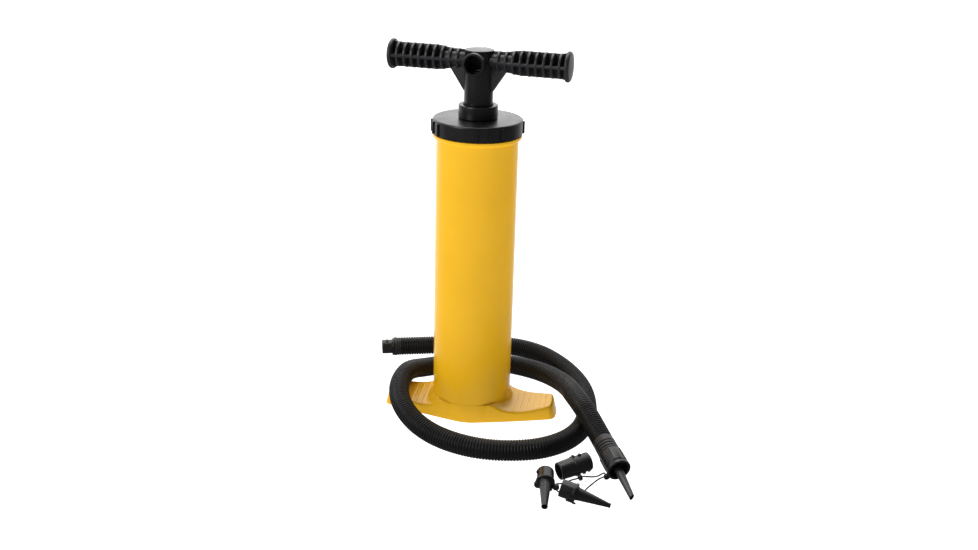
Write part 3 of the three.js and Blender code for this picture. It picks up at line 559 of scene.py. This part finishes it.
def foot_height(x, y):
    """Height of the top: dished foot, tread ribs, rounded rim and the hub's fillet."""
    reach = np.abs(x)
    height = np.interp(reach, FOOT_PROFILE[:, 0], FOOT_PROFILE[:, 1])
    half = foot_half_width(x)
    inset = np.clip((half - 3.5 - np.abs(y)) / 1.2, 0, 1)
    for rib in TREAD_RIBS:
        crest = np.clip(1.6 - np.abs(reach - rib) / 0.55, 0, 1)
        height = height + TREAD_HEIGHT * inset * crest
    end = foot_end(np.clip(y / half, -1, 1))
    edge = np.clip(np.minimum(half - np.abs(y), end - reach), 0, FOOT_RIM)
    height = height - (FOOT_RIM - np.sqrt(FOOT_RIM ** 2 - (FOOT_RIM - edge) ** 2))
    away = np.clip(np.hypot(x, y) - BARREL_R, 0, HUB_FILLET)
    height = height + HUB_FILLET - np.sqrt(HUB_FILLET ** 2 - (HUB_FILLET - away) ** 2)
    return np.minimum(height, BASE_TOP_Z)


def foot_grid():
    """Grid of (x, y) over both feet, closer towards the edges so that the rims come out round."""
    insets = [0, 0.1, 0.35, 0.8, 1.4, 2.2, FOOT_RIM]
    along = [1 - d / FOOT_REACH for d in insets]
    along += list(np.arange(108.6, 56, -0.4) / FOOT_REACH)
    along += list(np.linspace(0.49, 0, 16))
    across = [1 - d / 30 for d in insets] + list(np.linspace(0.88, 0, 12))
    u = np.array([-a for a in along] + along[-2::-1])
    v = np.array([-a for a in across] + across[-2::-1])
    u, v = np.meshgrid(u, v, indexing="ij")
    x = u * foot_end(v)
    return x, v * foot_half_width(np.clip(x, -FOOT_TIP[0], FOOT_TIP[0]))


def foot_solid():
    """(vertices, faces) of both feet as one closed solid between the floor and foot_height()."""
    x, y = foot_grid()
    z = foot_height(x, y)
    lean = np.clip((np.abs(x) - LEAN_FROM) / LEAN_RUN, 0, 1) ** 2 * END_LEAN * z / FOOT_END_Z
    top = np.stack([x - np.sign(x) * lean, y, z], axis=-1)
    bottom = np.stack([x, y, np.zeros_like(z)], axis=-1)
    rows, columns = x.shape
    vertices = [tuple(p) for p in np.concatenate([top.reshape(-1, 3), bottom.reshape(-1, 3)])]
    below = rows * columns
    index = np.arange(below).reshape(rows, columns)
    faces = []
    for i in range(rows - 1):
        for k in range(columns - 1):
            quad = [index[i, k], index[i + 1, k], index[i + 1, k + 1], index[i, k + 1]]
            faces.append([int(q) for q in quad])
            faces.append([int(q) + below for q in quad[::-1]])
    border = [*index[:, 0], *index[-1, 1:], *index[-2::-1, -1], *index[0, -2:0:-1]]
    for a, b in zip(border, border[1:] + border[:1]):
        faces.append([int(b), int(a), int(a) + below, int(b) + below])
    return vertices, faces


def under_pockets():
    """(vertices, faces) of the open cells under the feet and the hub."""
    cells = []
    for i in range(4):
        start = 55 + POCKET_PITCH * i
        end = start + POCKET_LENGTH
        top = float(min(np.interp(start, *FOOT_PROFILE.T), np.interp(end, *FOOT_PROFILE.T))) - SKIN
        half = float(foot_half_width(np.array(float(end)))) - SKIN
        for x0, x1 in ((start, end), (-end, -start)):
            cells.append(block(x0, x1, 1.5, half, -1, top, 0.8))
            cells.append(block(x0, x1, -half, -1.5, -1, top, 0.8))
    for quarter in range(4):
        angles = np.radians(np.linspace(4, 86, 18) + 90 * quarter)
        inner = np.radians(np.linspace(82, 8, 8) + 90 * quarter)
        sector = [(45 * math.cos(a), 45 * math.sin(a)) for a in angles]
        sector += [(14 * math.cos(a), 14 * math.sin(a)) for a in inner]
        cells.append(moved(prism(sector, -3.5, 1), Matrix.Rotation(math.radians(-90), 4, "X")))
    return merged(*cells)


def make_base():
    base = new_object("base_with_pedals", foot_solid())
    hub = lathe([(0, 0), (BARREL_R, 0), (BARREL_R, 24.25), (0, 24.25)], 192)
    combine(base, hub, "UNION")
    well = lathe([(0, 7), (BARREL_BORE_R, 7), (BARREL_BORE_R, 30), (0, 30)], 96)
    combine(base, well, "DIFFERENCE")
    combine(base, under_pockets(), "DIFFERENCE")
    finish_piece(base, YELLOW, "housing", ["base"], sharp=38)


# ---------------------------------------------------------------- barrel, cap and gland

BARREL_FOOT_Z = 24.3
RIM_R = 54.2
NECK_R = 49.6
NECK_TOP_Z = 380.6
CAP_R = 54.4
CAP_TOP_Z = 385
CAP_RIB_STEP = 16        # degrees between the ribs of a group
CAP_RIB_START = 24.2


def make_barrel():
    """The tube with its rim and the neck that the cap screws onto."""
    wall = soften([
        (BARREL_BORE_R, BARREL_FOOT_Z), (BARREL_R, BARREL_FOOT_Z), (BARREL_R, 359.6),
        (50.4, 360.6), (53.4, 361.9), (RIM_R, 362.9), (RIM_R, 366), (NECK_R, 366),
        (NECK_R, NECK_TOP_Z), (BARREL_BORE_R, NECK_TOP_Z),
    ], 0.5, 3)
    new_piece("barrel_tube", lathe(wall, 192, closed=True), YELLOW, "housing",
              ["barrel"])


def cap_ribs():
    """Four groups of three upright grip ribs."""
    ribs = []
    for group in range(4):
        for k in (-1, 0, 1):
            rib = block(-1.3, 1.3, -56.6, -52.8, 367.2, 382.4, 0.7)
            turn = math.radians(CAP_RIB_START + 90 * group + CAP_RIB_STEP * k)
            ribs.append(moved(rib, Matrix.Rotation(turn, 4, "Z")))
    return ribs


def make_cap():
    """The cap: a skirt over the neck, a flat top and the boss round the rod."""
    shell = soften([
        (17.6, 380), (17.6, 391.5), (20.6, 391.5), (20.6, 385.3), (21.2, CAP_TOP_Z),
        (CAP_R, CAP_TOP_Z), (CAP_R, 366.6), (50.9, 366.6), (50.9, 382), (20, 382), (20, 378),
        (14, 378), (14, 380),
    ], 2.4, 6, closed=True)
    new_piece("screw_cap_shell", merged(lathe(shell, 192, closed=True), *cap_ribs()), BLACK,
              "housing", ["screw_cap"])


def make_gland():
    """The collar that screws over the cap's boss and holds the rod's bush."""
    nut = soften([
        (15.1, 383.9), (17.3, 383.9), (17.3, 391.8), (20.9, 391.8), (20.9, 385.3), (23.8, 385.3),
        (23.8, 401.6), (18.1, 401.6), (18.1, 396), (15.1, 396),
    ], 1.5, 5, closed=True)
    new_piece("gland_collar", lathe(nut, 128, closed=True), BLACK, "housing",
              ["gland_nut"])


# ---------------------------------------------------------------- rod and handle

ROD_R = 13
ROD_BORE_R = 11
ROD_FOOT_Z = 19.3
ROD_TOP_Z = 442
STEM_R = 17.4
STEM_FOOT_Z = 397.7
STEM_BORE_R = 13.3
HUB_TOP_Z = 463.6
BAR_Z = 454
PORT_Z = 452.2
PORT_R = 13.2
PORT_BORE_R = 10.8
PORT_REACH = 25.5
GRIP_ROOT_X = 14.5
FIN_PITCH = 9.3
FIN_HALF = 1.5
RIB_HALF = 1.7
FINS = [24.9 + FIN_PITCH * i for i in range(9)]
HANDLE_FRAME = Matrix.Rotation(HANDLE_TURN, 4, "Z")


def make_rod():
    """The two-channel rod: an outer tube and the wall down its middle."""
    tube = soften([
        (ROD_BORE_R, ROD_FOOT_Z), (ROD_R, ROD_FOOT_Z), (ROD_R, ROD_TOP_Z), (ROD_BORE_R, ROD_TOP_Z),
    ], 0.3, 2, closed=True)
    wall = block(-11.4, 11.4, -1, 1, 19.6, 441.8, 0.2)
    rod = new_object("two_channel_rod", moved(lathe(tube, 96, closed=True), HANDLE_FRAME))
    combine(rod, moved(wall, HANDLE_FRAME), "UNION")
    for y0, y1 in ((-18, -9.5), (9.5, 18)):
        window = block(-5, 5, y0, y1, 21.3, 28.7, 0.6)
        combine(rod, moved(window, HANDLE_FRAME), "DIFFERENCE")
    finish_piece(rod, SATIN, "plunger", ["piston_rod"])


def grip_radius(x):
    t = min(max((x - 30) / 22, 0), 1)
    return 12.2 + 2.8 * t * t * (3 - 2 * t)


def along_bar(side):
    """Turns what is built along Z to lie along the bar's +X or -X half."""
    return Matrix.Translation((0, 0, BAR_Z)) @ Matrix.Rotation(side * math.pi / 2, 4, "Y")


def grip(side):
    """(vertices, faces) of one grip: crossed ribs, round fins, a solid root and a flared end."""
    shapes = []
    stations = [GRIP_ROOT_X, 24, 30, 35, 40, 46, 52, 100.4]
    edge = [(grip_radius(x) - 0.4, x) for x in stations] + [(16.3, 106.3)]
    outline = edge + [(-r, x) for r, x in reversed(edge)]
    rib = prism(outline, -RIB_HALF, RIB_HALF, 0.5)
    for turn in (0, math.pi / 2):
        shapes.append(moved(rib, Matrix.Rotation(turn, 4, "Z")))
    root = soften([(0, GRIP_ROOT_X), (9.2, GRIP_ROOT_X), (9.2, FINS[2]), (0, FINS[2])], 0.6, 3)
    shapes.append(lathe(root, 64))
    for x in FINS:
        r, near, far = grip_radius(x), x - FIN_HALF, x + FIN_HALF
        shapes.append(lathe(soften([(0, near), (r, near), (r, far), (0, far)], 0.7, 3), 72))
    flange = soften([
        (0, 105.8), (17.4, 105.8), (18, 107), (18, 109.4), (16.2, 111), (0, 112.4),
    ], 1, 5)
    shapes.append(lathe(flange, 96))
    return [moved(shape, along_bar(side)) for shape in shapes]


def port_frame(side):
    """Turns what is built along Z to lie along the front or rear port's axis."""
    return Matrix.Translation((0, 0, PORT_Z)) @ Matrix.Rotation(side * math.pi / 2, 4, "X")


def make_hub():
    """The handle's stem with its front and rear ports and the chamber between them."""
    stem_top = HUB_TOP_Z + 1
    stem = soften([
        (0, STEM_FOOT_Z), (STEM_R, STEM_FOOT_Z), (STEM_R, stem_top), (0, stem_top),
    ], 0.5, 3)
    hub = new_object("handle_hub", moved(lathe(stem, 112), HANDLE_FRAME))
    port = soften([
        (0, -PORT_REACH), (PORT_R, -PORT_REACH), (PORT_R, PORT_REACH), (0, PORT_REACH),
    ], 0.7, 4)
    combine(hub, moved(lathe(port, 96), HANDLE_FRAME @ port_frame(1)), "UNION")
    chamber = lathe([(0, 390), (STEM_BORE_R, 390), (STEM_BORE_R, 470), (0, 470)], 80)
    combine(hub, moved(chamber, HANDLE_FRAME), "DIFFERENCE")
    bore = lathe([(0, 8), (PORT_BORE_R, 8), (PORT_BORE_R, 27), (0, 27)], 80)
    for side in (-1, 1):
        combine(hub, moved(moved(bore, port_frame(side)), HANDLE_FRAME), "DIFFERENCE")
    seat = lathe([(0, HUB_TOP_Z), (STEM_R + 0.3, HUB_TOP_Z), (STEM_R + 0.3, 470), (0, 470)], 112)
    combine(hub, moved(seat, HANDLE_FRAME), "DIFFERENCE")
    divider = block(-13.6, 13.6, -1.2, 1.2, 442.3, 460.7)
    combine(hub, moved(divider, HANDLE_FRAME), "UNION")
    finish_piece(hub, BLACK, "plunger", ["handle"])


def make_grips():
    """On each side a finned grip, and the gusset that braces it against the stem."""
    gusset = [(14, 414), (16.3, 416), (33.5, 442), (33.5, 446), (14, 446)]
    for side, name in ((1, "right"), (-1, "left")):
        shape = moved(merged(*grip(side)), HANDLE_FRAME)
        new_piece(f"{name}_grip", shape, GRIP, "plunger")
        web = prism([(side * x, z) for x, z in gusset], -5.5, 5.5, 0.7)
        new_piece(f"{name}_gusset", moved(web, HANDLE_FRAME), GRAINED, "plunger")


def make_hub_plug():
    """The round plate that closes the hub's top."""
    plug = soften([
        (0, 461), (13, 461), (13, 463.9), (STEM_R, 463.9), (STEM_R, 466.5), (0, 466.5),
    ], 0.7, 4)
    new_piece("hub_plug", moved(lathe(plug, 112), HANDLE_FRAME), BLACK, "plunger",
              ["hub_top_plug"])


# ---------------------------------------------------------------- hose fittings

EYE_R = 3.8
EYE_HOLE_R = 1.7
CUFF_RINGS = (10.5, 15, 19.5)
HOSE_START = aimed(HOSE_ROUTE[0], 196.6, 0)
HOSE_END = aimed(HOSE_ROUTE[-1], -63.4, -13)


def cord_eye(x, y, z0, z1, reach):
    """(vertices, faces) of a flat lobe with a round hole, standing beside a round fitting."""
    distance, bearing = math.hypot(x, y), math.atan2(y, x)
    ring = lathe(soften([
        (EYE_HOLE_R, z0), (EYE_R, z0), (EYE_R, z1), (EYE_HOLE_R, z1),
    ], 0.5, 3, closed=True), 32, closed=True)
    arm = block(reach, distance - 2.1, -3.1, 3.1, z0 + 0.1, z1 - 0.1, 0.5)
    return merged(moved(ring, Matrix.Translation((x, y, 0))),
                  moved(arm, Matrix.Rotation(bearing, 4, "Z")))


def lug(angle, r0, r1, half, z0, z1):
    """(vertices, faces) of a rounded block standing out of a round fitting."""
    shape = block(r0, r1, -half, half, z0, z1, 0.5)
    return moved(shape, Matrix.Rotation(math.radians(angle), 4, "Z"))


def fitting(name, shapes, place, material, node):
    """One piece made of the shapes, in the place of a CAD node of the housing."""
    new_piece(name, moved(merged(*shapes), place), material, "housing", [node])


def make_hose_start():
    """The short cuff and the bayonet connector on the hose's loose rear end."""
    cuff = soften([
        (9.6, 0.3), (12.8, 0.3), (12.8, 1.8), (11.9, 2.4), (12.8, 3), (12.8, 4.6), (11.9, 5.2),
        (12.8, 5.8), (12.8, 6.4), (13.2, 6.6), (13.2, 9.8), (9.6, 9.8),
    ], 0.5, 3, closed=True)
    fitting("rear_hose_cuff", [lathe(cuff, 64, closed=True)], HOSE_START, SATIN,
            "hose_rear_cuff")
    tube = soften([
        (7.6, 10.1), (12, 10.1), (12, 12.6), (10, 12.8), (10, 27), (7.6, 27),
    ], 0.9, 4, closed=True)
    lugs = [lug(75, 8.5, 11.6, 2.2, 18.5, 22), lug(-105, 8.5, 11.6, 2.2, 18.5, 22),
            lug(-62, 10.5, 12.7, 3, 10.1, 12.6)]
    fitting("bayonet_connector", [lathe(tube, 64, closed=True), *lugs], HOSE_START, BLACK,
            "hose_connector")


def make_hose_end():
    """The ringed cuff and the cup that holds the pinch nozzle."""
    rings = [(9.6, 0.3), (12.8, 0.3)]
    for z in CUFF_RINGS:
        rings += [
            (13.1, z - 1.1), (13.1, z - 0.8), (11.9, z - 0.3), (11.9, z + 0.3), (13.1, z + 0.8),
        ]
    rings += [(13.1, 21.8), (13.6, 22.2), (13.6, 23.3), (9.6, 23.3)]
    fitting("front_hose_cuff", [lathe(soften(rings, 0.35, 3, closed=True), 80, closed=True)],
            HOSE_END, SATIN, "hose_front_cuff")
    cup = soften([
        (8.2, 23.6), (13.2, 23.6), (13.6, 24.6), (13.7, 45), (13.1, 45.7), (13.1, 47),
        (14.5, 47.4), (14.5, 51.5), (11.8, 51.5), (11.3, 36), (8.2, 34),
    ], 0.9, 4, closed=True)
    facets = [lug(angle, 11.9, 14.1, 4.4, 25.8, 44.6) for angle in (35, 95, 155, 215, 275, 335)]
    eye = cord_eye(-12.9, -10.1, 46.8, 50.2, 11.9)
    fitting("nozzle_cup", [lathe(cup, 96, closed=True), *facets, eye], HOSE_END, BLACK,
            "hose_end_cup")


BLADE_ROOT_Z = 44
BLADE_LENGTH = 56
BLADE_FLATNESS = 0.66
BLADE_SIDES = 48


def blade_ring(z, radius, flatness=BLADE_FLATNESS):
    """One oval ring of points round the blade."""
    angles = [2 * math.pi * k / BLADE_SIDES for k in range(BLADE_SIDES)]
    return [(radius * math.cos(a), flatness * radius * math.sin(a), z) for a in angles]


def blade():
    """(vertices, faces) of the flat hollow blade, before its tip is cut."""
    outside = [
        blade_ring(-5, 10.4, 0.95), blade_ring(-3, 10.4, 0.95), blade_ring(-1, 8.4, 0.9),
        blade_ring(1.5, 6.6, 0.75), blade_ring(4, 5.6), blade_ring(30, 4.5),
        blade_ring(BLADE_LENGTH, 3.3),
    ]
    inside = [
        blade_ring(BLADE_LENGTH, 2.4, BLADE_FLATNESS * 0.95), blade_ring(1, 4.2),
        blade_ring(-5, 6, 0.9),
    ]
    rings = outside + inside
    faces = []
    for i in range(len(rings)):
        a, b = i * BLADE_SIDES, (i + 1) % len(rings) * BLADE_SIDES
        for k in range(BLADE_SIDES):
            n = (k + 1) % BLADE_SIDES
            faces.append([a + k, a + n, b + n, b + k])
    return [point for ring in rings for point in ring], faces


def make_pinch_nozzle():
    """The blade on a collar inside the cup, leaning a little, with its tip cut on the slant."""
    lean = Matrix.Translation((0, 0, BLADE_ROOT_Z)) @ Matrix.Rotation(math.radians(-3.2), 4, "Y")
    place = HOSE_END @ lean
    nozzle = new_object("pinch_valve_nozzle", moved(blade(), place))
    slant = Matrix.Translation((0, 0, BLADE_LENGTH - 4)) @ Matrix.Rotation(0.6, 4, "Y")
    slant = slant @ Matrix.Rotation(-0.4, 4, "X")
    combine(nozzle, moved(block(-12, 12, -12, 12, 0, 16), place @ slant), "DIFFERENCE")
    finish_piece(nozzle, BLACK, "housing", ["pinch_nozzle"])


def make_double_ended_adapter():
    """A tube with a mouth at each end, a flange between them, lugs and an eye."""
    tube = soften([
        (8.6, 0), (10.5, 0), (11.2, 18.8), (12, 19.3), (12, 22.5), (10.9, 22.9), (10.9, 40.5),
        (8.8, 40.5),
    ], 0.7, 4, closed=True)
    lugs = [lug(78, 10, 13.4, 2.4, 20, 22.5), lug(80, 10, 12.8, 1.8, 28, 31),
            lug(-113, 10, 12.6, 1.8, 29.5, 33), lug(-113, 10, 12.2, 1.8, 36.5, 39.5)]
    fitting("double_ended_nozzle_adapter",
            [lathe(tube, 80, closed=True), *lugs, cord_eye(-12.9, -8.6, 19.3, 22.5, 9.6)],
            aimed((131.2, -166.3, 10.5), 34.3, 7), BLACK, "double_ended_adapter")


def cone_shell(socket_r, socket_length, root_r, tip_r, length):
    """(vertices, faces) of a round socket, a flange and a long hollow cone in front of it."""
    wall = 1.6
    shell = soften([
        (socket_r - wall, -socket_length), (socket_r, -socket_length), (socket_r, -1),
        (11.2, -0.8), (11.2, 2.2), (root_r + 0.8, 2.6), (root_r, 4.4), (tip_r, length - 2.2),
        (tip_r + 0.2, length), (tip_r - 0.8, length), (root_r - wall, 4), (socket_r - wall, -3),
    ], 0.8, 4, closed=True)
    return lathe(shell, 80, closed=True)


def make_large_nozzle():
    ear = lathe(soften([(0, -0.8), (4.8, -0.8), (4.8, 3.4), (0, 3.4)], 0.8, 4), 40)
    shapes = [cone_shell(10, 17, 6.8, 3.6, 42), cord_eye(12.6, -6.2, -0.8, 3, 9),
              moved(ear, Matrix.Translation((-8, -3, 0))), lug(-52, 9, 11, 2.4, -0.8, 6),
              lug(-36, 9, 10.4, 2.4, -0.8, 5), lug(150, 9.2, 11.6, 1.8, -13, -9.5)]
    fitting("large_cone_nozzle", shapes, aimed((118.3, -194, 11.5), -84.5, -10.4), BLACK,
            "large_nozzle")


def make_small_nozzle():
    shapes = [cone_shell(10.2, 16.5, 7.4, 2.7, 42.5), cord_eye(13.6, -6.8, -0.8, 2.2, 9),
              lug(-130, 9, 12, 1.4, -7, 2.2), lug(-130, 10.2, 12.4, 1.6, 0.6, 5)]
    fitting("small_cone_nozzle", shapes, aimed((153.6, -212.4, 12.3), -9.3, -11), BLACK,
            "small_nozzle")


# ---------------------------------------------------------------- inner parts kept from the CAD

def paint_inner_parts():
    looks = {
        "cap_gasket": RUBBER, "rod_seal": RUBBER, "piston_seal": RUBBER, "rod_bush": NYLON,
        "piston_body": SATIN, "piston_top_plate": SATIN,
        "lower_outlet_flap": RUBBER, "lower_inlet_flap": RUBBER,
        "upper_outlet_flap": RUBBER, "upper_inlet_flap": RUBBER,
    }
    looks.update({f"piston_screw_{i}": STEEL for i in range(1, 5)})
    for node, material in looks.items():
        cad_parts[node].data.materials.clear()
        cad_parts[node].data.materials.append(material)


make_base()
make_barrel()
make_cap()
make_gland()
make_rod()
make_hub()
make_grips()
make_hub_plug()
make_hose_start()
make_hose_end()
make_pinch_nozzle()
make_double_ended_adapter()
make_large_nozzle()
make_small_nozzle()
paint_inner_parts()
